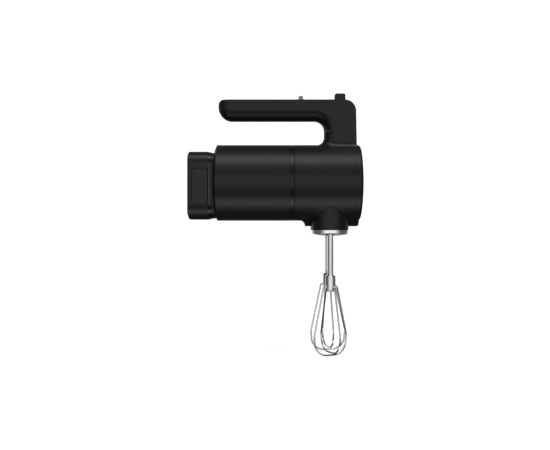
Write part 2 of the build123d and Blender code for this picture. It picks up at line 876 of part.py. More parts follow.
flange_length = 3.0
shelf_height = 3.0
frame_screw_circle = 24.0
frame_radius = inner_radius - 0.2
with BuildPart() as gear_frame:
    # round flange across the barrel that the motor is screwed to
    with BuildSketch(across(motor_front)):
        Circle(frame_radius)
        Circle(boss_step + 1.5, mode=Mode.SUBTRACT)
        with PolarLocations(frame_radius - 9.0, 4, start_angle=45):
            Circle(5.5, mode=Mode.SUBTRACT)
        with Locations((frame_screw_circle / 2, 0), (-frame_screw_circle / 2, 0)):
            Circle(1.6, mode=Mode.SUBTRACT)
    extrude(amount=flange_length)
    # shelf over the worm, with the upper bushes
    shelf_front = tip_wall_x + tip_wall_length
    with BuildSketch(level(shelf_bottom)):
        with Locations(((motor_front + flange_length + shelf_front) / 2, 0)):
            Rectangle(shelf_front - motor_front - flange_length, beater_spacing + 4 * bush_radius - 10)
    extrude(amount=shelf_height)
    with BuildSketch(level(shelf_bottom - 1.0)):
        with Locations((beater_x, beater_y), (beater_x, -beater_y)):
            Circle(bush_radius)
    extrude(amount=shelf_height + 2.0, mode=Mode.SUBTRACT)
    # end wall with the bush for the tip of the worm shaft
    with BuildSketch(across(tip_wall_x)):
        with Locations((0, (shelf_bottom - 8.0) / 2)):
            Rectangle(18.0, shelf_bottom + 8.0)
        Circle(tip_bush_radius, mode=Mode.SUBTRACT)
    extrude(amount=tip_wall_length)
save(gear_frame, "gear_frame")

with BuildPart() as frame_screws:
    with BuildSketch(across(motor_front + flange_length)):
        with Locations((frame_screw_circle / 2, 0), (-frame_screw_circle / 2, 0)):
            Circle(2.8)
    extrude(amount=2.0)
    with BuildSketch(across(motor_front + flange_length)):
        with Locations((frame_screw_circle / 2, 0), (-frame_screw_circle / 2, 0)):
            Circle(1.5)
    extrude(amount=-flange_length)
save(frame_screws, "frame_screws")


# ---------------------------------------------------------------- beaters
def beater(side, y, turn):
    """Shaft, collar and two crossed wire loops of one beater."""
    with BuildPart() as shaft:
        with BuildSketch(level(collar_bottom + shaft_seat)):
            with Locations((beater_x, y)):
                Circle(beater_shaft_diameter / 2)
        extrude(amount=beater_shaft_top - collar_bottom - shaft_seat)
        chamfer(shaft.faces().sort_by(Axis.Z)[-1].edges(), length=0.8)
        # drive flutes along the exposed length
        with BuildSketch(level(collar_top + shaft_seat)):
            with Locations((beater_x, y)):
                with PolarLocations(beater_shaft_diameter / 2 + 0.25, 4, start_angle=45 + turn):
                    Circle(flute_radius)
        extrude(amount=-boss_depth - ring_depth - collar_top - 6.0, mode=Mode.SUBTRACT)
    save(shaft, f"{side}_beater_shaft")

    for loop_name, loop_turn, bottom in (
        ("outer", turn, cage_bottom),
        ("inner", turn + 90, cage_bottom + cage_step),
    ):
        centre = Plane(
            origin=(beater_x, y, axis_z),
            x_dir=Vector(1, 0, 0).rotate(Axis.Z, loop_turn),
            z_dir=Vector(0, -1, 0).rotate(Axis.Z, loop_turn),
        )
        with BuildPart() as loop:
            with BuildLine(centre) as wire:
                FilletPolyline(
                    (-socket_radius, socket_z),
                    (-elbow_x, socket_z),
                    (-cage_radius - 0.9, cage_belly - 4),
                    (-cage_radius + 1.2, bottom),
                    (cage_radius - 1.2, bottom),
                    (cage_radius + 0.9, cage_belly - 4),
                    (elbow_x, socket_z),
                    (socket_radius, socket_z),
                    radius=[3.2, 9.0, 15.0, 15.0, 9.0, 3.2],
                )
            with BuildSketch(Plane(origin=wire.line @ 0, z_dir=wire.line % 0)):
                Circle(wire_diameter / 2)
            sweep(path=wire.line)
        save(loop, f"{side}_{loop_name}_loop")

    with BuildPart() as collar:
        with BuildSketch(level(collar_bottom)):
            with Locations((beater_x, y)):
                Circle(collar_diameter / 2)
        extrude(amount=collar_top - collar_bottom)
        fillet(collar.edges().filter_by(GeomType.CIRCLE), radius=2.2)
        with BuildSketch(level(collar_bottom + shaft_seat)):
            with Locations((beater_x, y)):
                Circle(beater_shaft_diameter / 2)
        extrude(amount=collar_top - collar_bottom, mode=Mode.SUBTRACT)
        for loop_turn in (turn, turn + 90):
            bore_plane = Plane(
                origin=(beater_x, y, axis_z + socket_z),
                x_dir=(0, 0, 1),
                z_dir=Vector(1, 0, 0).rotate(Axis.Z, loop_turn),
            )
            with BuildSketch(bore_plane):
                Circle(wire_diameter / 2)
            extrude(amount=collar_diameter, both=True, mode=Mode.SUBTRACT)
    save(collar, f"{side}_beater_collar")


beater("left", beater_y, left_cage_turn)
beater("right", -beater_y, right_cage_turn)

# ---------------------------------------------------------------- battery pack
pack_height = pack_top - pack_bottom
pack_middle = (pack_top + pack_bottom) / 2
stem_bore = stem_radius - stem_wall
cover_front = neck_front - sliding_gap
cell_pitch = (cell_diameter / 2 + 0.1) * 2 / math.sqrt(3)
cell_spots = [(0.0, cell_pitch), (-cell_pitch * math.sqrt(0.75), -cell_pitch / 2),
              (cell_pitch * math.sqrt(0.75), -cell_pitch / 2)]
pack_screw_radius = 1.2
pack_screw_head = 2.5
pack_screw_pocket = 1.8
pack_post_radius = 3.2
contact_spots = [(-8, 0), (8, 0)]
contact_width = 6.0
contact_height = 9.0
lid_gap_height = 1.0
pack_screw_spots = [(-18.0, 26.0), (18.0, 26.0), (-14.0, -32.0), (14.0, -32.0)]
plate_inner = pack_back + 4.5


def pack_outline(x, inset=0.0):
    """Tall rounded outline of the pack, square to the barrel's axis."""
    with BuildSketch(across(x)) as outline:
        with Locations((0, pack_middle)):
            Rectangle(pack_width - 2 * inset, pack_height - 2 * inset)
        fillet(outline.vertices().group_by(Axis.Y)[-1], radius=pack_top_radius - inset)
        fillet(outline.vertices().group_by(Axis.Y)[0], radius=pack_bottom_radius - inset)
    return outline.sketch


def bulged_back(plane, middle, size):
    """Outline with a flat middle and ends that ease forward, to trim the back of the pack."""
    flat = pack_heel / 2
    half = size / 2
    lean = pack_bulge * half / (pack_height / 2)
    with BuildSketch(plane) as trim:
        with BuildLine():
            Polyline((pack_back, middle + flat * half * 2 / pack_height),
                     (pack_back, middle - flat * half * 2 / pack_height))
            ThreePointArc((pack_back, middle - flat * half * 2 / pack_height),
                          (pack_back + lean * 0.3, middle - half * 0.74),
                          (pack_back + lean, middle - half))
            Polyline((pack_back + lean, middle - half), (pack_front, middle - half),
                     (pack_front, middle + half), (pack_back + lean, middle + half))
            ThreePointArc((pack_back + lean, middle + half),
                          (pack_back + lean * 0.3, middle + half * 0.74),
                          (pack_back, middle + flat * half * 2 / pack_height))
        make_face()
        back_corners = trim.vertices().group_by(Axis.X)[1]
        fillet(back_corners, radius=2.0)
    return trim.sketch


def button_outline(y, margin=0.0, front=button_front):
    """Outline of a release button, rounded at the back, on a plane facing sideways."""
    back = button_front - button_length - margin
    plane = Plane(origin=(0, y, axis_z), x_dir=(1, 0, 0), z_dir=(0, -1, 0))
    with BuildSketch(plane) as outline:
        with Locations(((back + front) / 2, button_middle)):
            Rectangle(front - back, button_height + 2 * margin)
        fillet(outline.vertices().group_by(Axis.X)[0], radius=button_corner + margin)
    return outline.sketch


plan_plane = Plane.XY.offset(axis_z)
wall_inner = pack_width / 2 - shell_wall
with BuildPart() as battery_case:
    extrude(pack_outline(pack_back), amount=pack_front - pack_back)
    extrude(bulged_back(side_plane, pack_middle, pack_height), amount=pack_width, both=True,
            mode=Mode.INTERSECT)
    extrude(bulged_back(plan_plane, 0, pack_width), amount=pack_height, both=True, mode=Mode.INTERSECT)
    extrude(pack_outline(plate_inner, shell_wall), amount=pack_front - plate_inner, mode=Mode.SUBTRACT)
    with BuildSketch(across(cell_back - 0.2)):
        Circle(stem_bore)
    extrude(amount=10, mode=Mode.SUBTRACT)
    with BuildSketch(across(plate_inner)):
        with Locations(pack_screw_spots):
            Circle(pack_post_radius)
    extrude(amount=pack_front - plate_inner)
    with BuildSketch(across(pack_front)):
        with Locations(pack_screw_spots):
            Circle(pack_screw_radius)
    extrude(amount=-10.0, mode=Mode.SUBTRACT)
    # side windows for the release buttons
    for way in (1, -1):
        window = button_outline(way * (wall_inner - 0.5), sliding_gap, pack_front)
        extrude(window, amount=-way * (shell_wall + 2.0), mode=Mode.SUBTRACT)
save(battery_case, "battery_case")

slot_width = pack_width / 2 - 2.3 - stem_radius
arm_height = 12.0
with BuildPart() as battery_cover:
    extrude(pack_outline(pack_front, neck_inset), amount=cover_front - pack_front)
    with BuildSketch(across(cover_front)):
        Circle(stem_radius)
    extrude(amount=stem_front - cover_front)
    with BuildSketch(across(pack_front)):
        Circle(stem_bore)
    extrude(amount=stem_front - contact_thickness - pack_front, mode=Mode.SUBTRACT)
    with BuildSketch(across(stem_front - contact_thickness)):
        with Locations(contact_spots):
            Rectangle(contact_width, contact_height)
    extrude(amount=contact_thickness, mode=Mode.SUBTRACT)
    with BuildSketch(across(pack_front)):
        for way in (1, -1):
            with Locations((way * (stem_radius + 0.05 + slot_width / 2), button_middle)):
                Rectangle(slot_width, arm_height + lid_gap_height)
    extrude(amount=cover_front - pack_front, mode=Mode.SUBTRACT)
    with BuildSketch(across(pack_front)):
        with Locations(pack_screw_spots):
            Circle(pack_screw_radius)
    extrude(amount=cover_front - pack_front, mode=Mode.SUBTRACT)
    with BuildSketch(across(cover_front)):
        with Locations(pack_screw_spots):
            Circle(pack_screw_head + 0.1)
    extrude(amount=-pack_screw_pocket, mode=Mode.SUBTRACT)
save(battery_cover, "battery_cover")

with BuildPart() as pack_screws:
    with BuildSketch(across(cover_front - pack_screw_pocket)):
        with Locations(pack_screw_spots):
            Circle(pack_screw_head)
            Rectangle(recess_span, recess_slot, mode=Mode.SUBTRACT)
    extrude(amount=1.6)
    with BuildSketch(across(cover_front - pack_screw_pocket)):
        with Locations(pack_screw_spots):
            Circle(pack_screw_radius)
    extrude(amount=-9.0)
save(pack_screws, "pack_screws")

with BuildPart() as battery_cells:
    with BuildSketch(across(cell_back)):
        with Locations(cell_spots):
            Circle(cell_diameter / 2)
    extrude(amount=cell_length - 1.2)
    with BuildSketch(across(cell_back + cell_length - 1.2)):
        with Locations(cell_spots):
            Circle(3.0)
    extrude(amount=1.2)
save(battery_cells, "battery_cells")

with BuildPart() as battery_contacts:
    with BuildSketch(across(stem_front - contact_thickness)):
        with Locations(contact_spots):
            Rectangle(contact_width, contact_height)
    extrude(amount=contact_thickness)
save(battery_contacts, "battery_contacts")

holder_x = (pack_back + pack_front) / 2 + 6.0
holder_width = 2 * (wall_inner - 4.4)
with BuildPart() as cell_holder:
    with BuildSketch(across(holder_x)):
        with Locations((0, pack_middle)):
            Rectangle(holder_width, pack_height - 2 * shell_wall)
        with Locations(cell_spots):
            Circle(cell_diameter / 2 + 0.05, mode=Mode.SUBTRACT)
        with Locations(pack_screw_spots):
            Circle(pack_post_radius, mode=Mode.SUBTRACT)
    extrude(amount=3.0)
    extrude(pack_outline(holder_x, shell_wall), amount=3.0, mode=Mode.INTERSECT)
save(cell_holder, "cell_holder")

leaf_thickness = 0.4
with BuildPart() as release_springs:
    with BuildSketch(across(holder_x - 3.0)):
        for way in (1, -1):
            with Locations((way * (holder_width / 2 + leaf_thickness / 2), button_middle)):
                Rectangle(leaf_thickness, 26.0)
    extrude(amount=9.0)
save(release_springs, "release_springs")


latch_thickness = 1.0
latch_root = button_front - 2.0
latch_tip = barrel_back - back_rim_dome - sliding_gap


def release_button(side, way):
    """Ribbed thumb pad with its inner lip and the latch arm that reaches into the dock."""
    outer = pack_width / 2 + button_proud - 0.5
    lip_outer = wall_inner - sliding_gap
    lip_inner = lip_outer - 1.5
    with BuildPart() as button:
        extrude(button_outline(way * lip_outer), amount=-way * (outer - lip_outer))
        crown = button.faces().filter_by(Axis.Y).sort_by(Axis.Y)[-1 if way > 0 else 0]
        fillet(crown.edges(), radius=0.6)
        extrude(button_outline(way * lip_inner, button_lip), amount=-way * 1.5)
        # grip ribs
        rib_plane = Plane(origin=(0, way * (outer - 0.3), axis_z), x_dir=(1, 0, 0), z_dir=(0, way, 0))
        with BuildSketch(rib_plane):
            with Locations((button_front - button_length * 0.45, button_middle * -way)):
                with GridLocations(2.3, 1, 5, 1):
                    SlotOverall(button_height * 0.62, 0.9, rotation=90)
        extrude(amount=0.3 + button_proud)
        # latch arm
        with BuildSketch(Plane(origin=(0, 0, axis_z + button_middle - arm_height / 2))):
            with Locations(((latch_root + latch_tip) / 2, way * (lip_outer - latch_thickness / 2))):
                Rectangle(latch_tip - latch_root, latch_thickness)
        extrude(amount=arm_height)
    save(button, f"{side}_release_button")


release_button("left", 1)
release_button("right", -1)

# ---------------------------------------------------------------- battery dock and electronics
with BuildPart() as dock_collar:
    extrude(pack_outline(neck_front, collar_inset), amount=barrel_back + back_rim_length - neck_front)
    add(barrel_shell.part, mode=Mode.SUBTRACT)
    with BuildSketch(across(barrel_back + back_rim_dome)):
        Circle(inner_radius - 0.5)
    extrude(amount=back_rim_length + 1.0, mode=Mode.SUBTRACT)
    with BuildSketch(across(neck_front)):
        Circle(sleeve_bore)
        with Locations((0, button_middle)):
            Rectangle(2 * (stem_radius + 0.05 + slot_width), arm_height + lid_gap_height)
    extrude(amount=3.2, mode=Mode.SUBTRACT)
    with BuildSketch(across(neck_front)):
        Circle(sleeve_bore)
    extrude(amount=barrel_back + back_rim_length - neck_front, mode=Mode.SUBTRACT)
save(dock_collar, "dock_collar")

sleeve_front = stem_front + 3.0
with BuildPart() as dock_sleeve:
    revolve(tube_profile(barrel_back + shell_wall, sleeve_front, sleeve_bore + sleeve_wall, sleeve_bore),
            axis=barrel_axis)
save(dock_sleeve, "dock_sleeve")

block_length = 3.0
with BuildPart() as terminal_block:
    revolve(tube_profile(sleeve_front, sleeve_front + block_length, sleeve_bore + sleeve_wall),
            axis=barrel_axis)
save(terminal_block, "terminal_block")

with BuildPart() as terminal_blades:
    with BuildSketch(across(stem_front + sliding_gap)):
        with Locations(contact_spots):
            Rectangle(contact_width - 2, contact_height - 2)
    extrude(amount=sleeve_front - stem_front - sliding_gap)
save(terminal_blades, "terminal_blades")

board_x = sleeve_front + block_length
with BuildPart() as control_board:
    with BuildSketch(across(board_x)):
        Circle(frame_radius)
    extrude(amount=1.6)
save(control_board, "control_board")

part_circle = (frame_radius + motor_radius) / 2
with BuildPart() as board_components:
    with BuildSketch(across(board_x + 1.6)):
        with PolarLocations(part_circle, 2, start_angle=60, angular_range=40):
            Circle(4.0)
    extrude(amount=11.0)
    with BuildSketch(across(board_x + 1.6)):
        with PolarLocations(part_circle, 3, start_angle=150, angular_range=90):
            Rectangle(4.5, 10.0)
    extrude(amount=9.0)
    with BuildSketch(across(board_x + 1.6)):
        with PolarLocations(part_circle, 1, start_angle=-40):
            Rectangle(9.0, 9.0)
    extrude(amount=1.8)
save(board_components, "board_components")
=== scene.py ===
import json
import math

import bpy
from bpy.props import FloatProperty, FloatVectorProperty, IntProperty, PointerProperty
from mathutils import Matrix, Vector

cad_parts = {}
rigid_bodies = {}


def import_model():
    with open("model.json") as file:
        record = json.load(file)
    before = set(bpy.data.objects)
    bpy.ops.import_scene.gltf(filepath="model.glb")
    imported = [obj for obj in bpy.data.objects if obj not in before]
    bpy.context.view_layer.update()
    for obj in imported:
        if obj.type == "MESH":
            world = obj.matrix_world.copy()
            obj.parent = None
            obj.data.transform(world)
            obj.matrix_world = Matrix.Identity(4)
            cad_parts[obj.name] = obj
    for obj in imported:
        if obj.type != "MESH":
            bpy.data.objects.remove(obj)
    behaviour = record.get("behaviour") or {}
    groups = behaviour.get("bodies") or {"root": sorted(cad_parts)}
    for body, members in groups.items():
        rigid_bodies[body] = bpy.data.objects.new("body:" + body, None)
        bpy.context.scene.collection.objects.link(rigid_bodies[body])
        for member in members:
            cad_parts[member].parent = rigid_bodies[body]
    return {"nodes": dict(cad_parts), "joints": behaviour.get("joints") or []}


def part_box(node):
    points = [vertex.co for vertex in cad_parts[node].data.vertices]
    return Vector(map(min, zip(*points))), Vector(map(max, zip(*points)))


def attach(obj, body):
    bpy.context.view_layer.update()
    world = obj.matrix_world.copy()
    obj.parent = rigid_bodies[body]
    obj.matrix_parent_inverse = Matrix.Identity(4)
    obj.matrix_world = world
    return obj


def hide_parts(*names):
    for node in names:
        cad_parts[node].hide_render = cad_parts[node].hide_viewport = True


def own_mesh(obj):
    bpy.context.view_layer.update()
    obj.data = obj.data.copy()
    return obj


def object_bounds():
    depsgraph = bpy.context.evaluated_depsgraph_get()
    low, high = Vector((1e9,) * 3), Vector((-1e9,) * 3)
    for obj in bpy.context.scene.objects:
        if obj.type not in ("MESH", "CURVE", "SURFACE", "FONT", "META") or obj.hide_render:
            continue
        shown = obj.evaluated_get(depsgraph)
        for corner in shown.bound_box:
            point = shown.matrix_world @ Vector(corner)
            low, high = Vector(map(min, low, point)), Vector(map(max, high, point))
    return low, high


bl_info = {
    "name": "Cordless Hand Mixer",
    "version": (1, 0, 0),
    "blender": (4, 5, 0),
    "location": "View3D > Sidebar > Hand Mixer",
    "description": "Finishes a cordless hand mixer and sets it in a pale studio",
    "category": "Object",
}

for leftover in list(bpy.data.objects):
    bpy.data.objects.remove(leftover)
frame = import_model()
cad_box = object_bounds()
MM = 0.001
FACES_UP = 0.9
SMOOTH_BELOW = math.radians(35)
MIX_FIRST, MIX_SECOND, MIX_COLOUR = 6, 7, 2  # colour sockets of the Mix node


# ------------------------------------------------------------------ shader helpers
class Signal:
    """A shader socket that takes part in Python arithmetic through Math nodes."""

    def __init__(self, network, socket):
        self.network = network
        self.socket = socket

    def math(self, operation, other=None, swapped=False):
        values = [self] if other is None else [self, other]
        if swapped:
            values.reverse()
        return self.network.node("ShaderNodeMath", {"operation": operation}, dict(enumerate(values)))

    def __add__(self, other):
        return self.math("ADD", other)

    def __radd__(self, other):
        return self.math("ADD", other)

    def __sub__(self, other):
        return self.math("SUBTRACT", other)

    def __rsub__(self, other):
        return self.math("SUBTRACT", other, swapped=True)

    def __mul__(self, other):
        return self.math("MULTIPLY", other)

    def __rmul__(self, other):
        return self.math("MULTIPLY", other)

    def above(self, level):
        return self.math("GREATER_THAN", level)


class Network:
    """The nodes of a material or a world, all made through one call."""

    def __init__(self, tree):
        self.tree = tree

    def node(self, kind, settings=None, inputs=None, output=0):
        made = self.tree.nodes.new(kind)
        for key, value in (settings or {}).items():
            if key == "stops":
                self.set_stops(made.color_ramp, value)
            else:
                setattr(made, key, value)
        for key, value in (inputs or {}).items():
            if isinstance(value, Signal):
                self.tree.links.new(value.socket, made.inputs[key])
            else:
                made.inputs[key].default_value = value
        return Signal(self, made.outputs[output])

    @staticmethod
    def set_stops(ramp, stops):
        while len(ramp.elements) > 1:
            ramp.elements.remove(ramp.elements[-1])
        ramp.elements[0].position, ramp.elements[0].color = stops[0]
        for position, colour in stops[1:]:
            ramp.elements.new(position).color = colour

    def find(self, kind):
        return next(n for n in self.tree.nodes if n.type == kind)


class Finish(Network):
    """One material with its Principled shader, and the patterns that the finishes share."""

    def __init__(self, name, colour, roughness, metallic=0.0, specular=0.5, coat=0.0, coat_roughness=0.1):
        self.material = bpy.data.materials.new(name)
        self.material.use_nodes = True
        super().__init__(self.material.node_tree)
        self.shader = self.find("BSDF_PRINCIPLED")
        self.colour = (*colour, 1.0)
        self.roughness = roughness
        constants = {
            "Base Color": self.colour,
            "Roughness": roughness,
            "Metallic": metallic,
            "Specular IOR Level": specular,
            "Coat Weight": coat,
            "Coat Roughness": coat_roughness,
        }
        for socket, value in constants.items():
            self.shader.inputs[socket].default_value = value
        self.place = self.node("ShaderNodeTexCoord", output="Object")

    def noise(self, scale, detail=2.0, roughness=0.5, stretch=(1, 1, 1)):
        place = self.node("ShaderNodeMapping", {}, {"Vector": self.place, "Scale": stretch})
        return self.node("ShaderNodeTexNoise", {},
                         {"Vector": place, "Scale": scale, "Detail": detail, "Roughness": roughness})

    def axis(self, letter):
        return self.node("ShaderNodeSeparateXYZ", {}, {"Vector": self.place}, output=letter)

    def cells(self, scale):
        return self.node("ShaderNodeTexVoronoi", {}, {"Vector": self.place, "Scale": scale})

    def waves(self, distance, pitch):
        """Swings between -1 and 1 once for each pitch of a distance."""
        return (distance * (2 * math.pi / pitch)).math("SINE")

    def mix(self, factor, first, second):
        return self.node("ShaderNodeMix", {"data_type": "RGBA"},
                         {"Factor": factor, MIX_FIRST: first, MIX_SECOND: second}, output=MIX_COLOUR)

    def feed(self, socket, signal):
        self.tree.links.new(signal.socket, self.shader.inputs[socket])

    def bump(self, height, distance):
        self.feed("Normal", self.node("ShaderNodeBump", {}, {"Height": height, "Distance": distance}))

    def shade(self, factor, darker, lighter):
        """Colour that drifts between two multiples of the base colour."""
        low = (*[c * darker for c in self.colour[:3]], 1.0)
        high = (*[c * lighter for c in self.colour[:3]], 1.0)
        self.feed("Base Color", self.mix(factor, low, high))

    def vary_roughness(self, factor, spread):
        self.feed("Roughness", factor * (2 * spread) + (self.roughness - spread))


# ------------------------------------------------------------------ finishes
def soft_touch(name, colour, roughness, grain):
    """Soft-touch moulded plastic: fine spark-eroded grain, with faint handling marks."""
    finish = Finish(name, colour, roughness, specular=0.42)
    marks = finish.noise(38, detail=5, roughness=0.62)
    finish.shade(marks, 0.82, 1.2)
    finish.vary_roughness(finish.noise(90, detail=3), 0.05)
    pores = finish.noise(2600, detail=2, roughness=0.6)
    finish.bump(pores + 0.5 * finish.cells(1700), grain)
    return finish.material


def gloss_plastic(name, colour):
    """Polished moulded plastic with hairline handling scratches."""
    finish = Finish(name, colour, 0.24, specular=0.45, coat=0.15, coat_roughness=0.2)
    finish.shade(finish.noise(60, detail=4), 0.8, 1.25)
    scratches = finish.noise(300, detail=3, stretch=(1, 1, 14))
    finish.vary_roughness(scratches, 0.05)
    finish.bump(finish.noise(500, detail=2), 0.000004)
    return finish.material


def filled_nylon(name, colour, roughness=0.48):
    """Glass-filled nylon: pale flow streaks and a coarse grain."""
    finish = Finish(name, colour, roughness)
    finish.shade(finish.noise(70, detail=6, roughness=0.7, stretch=(1, 1, 5)), 0.7, 1.45)
    finish.vary_roughness(finish.noise(300, detail=3), 0.08)
    finish.bump(finish.noise(1500, detail=3), 0.00002)
    return finish.material


def chrome(name, colour, roughness=0.09):
    """Polished chrome plate with a faint orange peel and fine rub marks."""
    finish = Finish(name, colour, roughness, metallic=1.0)
    finish.shade(finish.noise(45, detail=4), 0.94, 1.03)
    finish.vary_roughness(finish.noise(420, detail=4, roughness=0.65), 0.035)
    finish.bump(finish.noise(900, detail=2), 0.0000016)
    return finish.material


def turned_chrome(name, colour):
    """Ground and plated rod, with fine rings round its length."""
    finish = Finish(name, colour, 0.16, metallic=1.0)
    rings = finish.noise(500, detail=4, roughness=0.7, stretch=(0.2, 0.2, 8))
    finish.shade(rings, 0.9, 1.04)
    finish.vary_roughness(rings, 0.06)
    finish.bump(rings, 0.000003)
    return finish.material


def brushed(name, colour, roughness, stretch):
    """Turned or drawn metal, with its lines across the stretched axes."""
    finish = Finish(name, colour, roughness, metallic=1.0)
    lines = finish.noise(260, detail=5, roughness=0.7, stretch=stretch)
    finish.shade(lines, 0.75, 1.15)
    finish.vary_roughness(lines, 0.09)
    finish.bump(lines, 0.00001)
    return finish.material


def stacked_steel(name):
    """Laminated core: thin steel sheets stacked along the shaft."""
    finish = Finish(name, (0.34, 0.34, 0.36), 0.38, metallic=1.0)
    sheets = finish.waves(finish.axis("X"), 0.5 * MM) * 0.5 + 0.5
    finish.shade(sheets, 0.35, 1.2)
    finish.bump(sheets, 0.00004)
    finish.vary_roughness(finish.noise(200, detail=3), 0.08)
    return finish.material


def wound_copper(name):
    """Enamelled copper wire wound side by side."""
    finish = Finish(name, (0.48, 0.17, 0.06), 0.28, metallic=0.85, coat=0.5)
    centre_height = -83.2 * MM
    across = finish.axis("Y")
    up = finish.axis("Z") - centre_height
    radius = (across * across + up * up).math("SQRT")
    strands = finish.waves(radius, 0.6 * MM) * 0.5 + 0.5
    finish.shade(strands, 0.45, 1.2)
    finish.bump(strands, 0.00009)
    finish.vary_roughness(finish.noise(160, detail=3), 0.06)
    return finish.material


def copper_alloy(name, colour=(0.62, 0.40, 0.18)):
    """Bare bronze or brass with a light tarnish."""
    finish = Finish(name, colour, 0.3, metallic=1.0)
    finish.shade(finish.noise(140, detail=6, roughness=0.65), 0.6, 1.15)
    finish.vary_roughness(finish.noise(300, detail=3), 0.1)
    finish.bump(finish.noise(1200, detail=2), 0.000008)
    return finish.material


def sintered(name):
    """Ferrite and carbon: dull, granular and nearly black."""
    finish = Finish(name, (0.055, 0.055, 0.06), 0.72)
    finish.shade(finish.cells(900), 0.6, 1.7)
    finish.vary_roughness(finish.noise(400), 0.08)
    finish.bump(finish.cells(1400), 0.00003)
    return finish.material


def circuit_board(name):
    """Green solder mask over copper tracks."""
    finish = Finish(name, (0.012, 0.10, 0.045), 0.32, coat=0.5)
    lanes = finish.waves(finish.axis("Y"), 2.6 * MM).above(0.72)
    rungs = finish.waves(finish.axis("Z"), 6.2 * MM).above(0.86)
    tracks = lanes.math("MAXIMUM", rungs) * finish.noise(55, detail=1).above(0.47)
    finish.feed("Base Color", finish.mix(tracks, (0.010, 0.085, 0.038, 1), (0.03, 0.2, 0.09, 1)))
    finish.bump(tracks, 0.00003)
    finish.vary_roughness(finish.noise(200), 0.05)
    return finish.material


def cell_sleeve(name):
    """Shrink sleeve over a steel cell, slightly wrinkled at its ends."""
    finish = Finish(name, (0.02, 0.10, 0.30), 0.22, coat=0.4)
    finish.shade(finish.noise(50, detail=3), 0.8, 1.2)
    finish.bump(finish.noise(220, detail=2, stretch=(5, 1, 1)), 0.00006)
    finish.vary_roughness(finish.noise(180), 0.05)
    return finish.material


def acetal(name):
    """Natural acetal gear plastic with cutter marks."""
    finish = Finish(name, (0.72, 0.69, 0.60), 0.36)
    finish.shade(finish.noise(80, detail=4), 0.9, 1.06)
    finish.bump(finish.noise(700, detail=3, stretch=(1, 1, 6)), 0.00001)
    finish.vary_roughness(finish.noise(260), 0.06)
    return finish.material


def scale_ink(name, colour):
    """Pad-printed ink with slightly starved patches."""
    finish = Finish(name, colour, 0.5)
    finish.shade(finish.noise(900, detail=3), 0.7, 1.1)
    finish.vary_roughness(finish.noise(500), 0.06)
    finish.bump(finish.noise(2400, detail=2), 0.000008)
    return finish.material


# ------------------------------------------------------------------ modelling helpers
def dress(material, *nodes):
    """Gives carried-over CAD pieces one finish."""
    for name in nodes:
        for slot in frame["nodes"][name].material_slots:
            slot.material = material


def clear_selection():
    for thing in list(bpy.context.selected_objects):
        thing.select_set(False)


def activate(piece):
    clear_selection()
    piece.select_set(True)
    bpy.context.view_layer.objects.active = piece


def start_block(size, centre):
    """A block of that size, ready to be shaped in edit mode."""
    clear_selection()
    bpy.ops.mesh.primitive_cube_add(size=1, location=centre)
    block = bpy.context.active_object
    block.scale = size
    bpy.ops.object.transform_apply(location=False, rotation=False, scale=True)
    return block


def select_faces(piece, wanted):
    """Selects, in edit mode, the faces whose centre and normal pass a test."""
    bpy.ops.object.mode_set(mode="EDIT")
    bpy.ops.mesh.select_mode(type="FACE")
    bpy.ops.mesh.select_all(action="DESELECT")
    bpy.ops.object.mode_set(mode="OBJECT")
    for face in piece.data.polygons:
        face.select = wanted(face.center, face.normal)
    bpy.ops.object.mode_set(mode="EDIT")


def select_edges(piece, wanted):
    """Selects, in edit mode, the edges whose two ends pass a test."""
    bpy.ops.object.mode_set(mode="EDIT")
    bpy.ops.mesh.select_mode(type="EDGE")
    bpy.ops.mesh.select_all(action="DESELECT")
    bpy.ops.object.mode_set(mode="OBJECT")
    points = piece.data.vertices
    for edge in piece.data.edges:
        edge.select = wanted(points[edge.vertices[0]].co, points[edge.vertices[1]].co)
    bpy.ops.object.mode_set(mode="EDIT")


def apply_modifier(piece, kind, settings):
    modifier = piece.modifiers.new(kind.title(), kind)
    for key, value in settings.items():
        setattr(modifier, key, value)
    activate(piece)
    bpy.ops.object.modifier_apply(modifier=modifier.name)


def copy_of(piece, shift):
    """A copy with its own mesh, moved along."""
    twin = piece.copy()
    twin.data = piece.data.copy()
    twin.location = piece.location + Vector(shift)
    bpy.context.scene.collection.objects.link(twin)
    return twin


def join(pieces):
    clear_selection()
    for piece in pieces:
        piece.select_set(True)
    bpy.context.view_layer.objects.active = pieces[0]
    bpy.ops.object.join()
    return pieces[0]


def settle(piece, name, material, body):
    """Names a new piece, applies its place, and gives it a finish and a body to ride on."""
    piece.name = name
    piece.data.name = name
    activate(piece)
    bpy.ops.object.transform_apply(location=True, rotation=True, scale=True)
    piece.data.materials.clear()
    piece.data.materials.append(material)
    bpy.ops.object.shade_smooth_by_angle(angle=SMOOTH_BELOW)
    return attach(piece, body)


def rounded_bar(size, centre, corner):
    """A small bar with rolled edges, for grip ribs and printed marks."""
    bar = start_block(size, centre)
    bpy.ops.object.mode_set(mode="EDIT")
    bpy.ops.mesh.select_all(action="SELECT")
    bpy.ops.mesh.bevel(offset=corner, segments=3, profile=0.5)
    bpy.ops.object.mode_set(mode="OBJECT")
    return bar


def row_of(first, count, pitch):
    """A piece and its copies, evenly spaced along X, as one object."""
    return join([first] + [copy_of(first, (pitch * i, 0, 0)) for i in range(1, count)])


def travel_of(name):
    """How far a sliding joint goes from rest."""
    joint = next(j for j in frame["joints"] if j["name"] == name)
    return max(abs(limit) for limit in joint["range_m"])


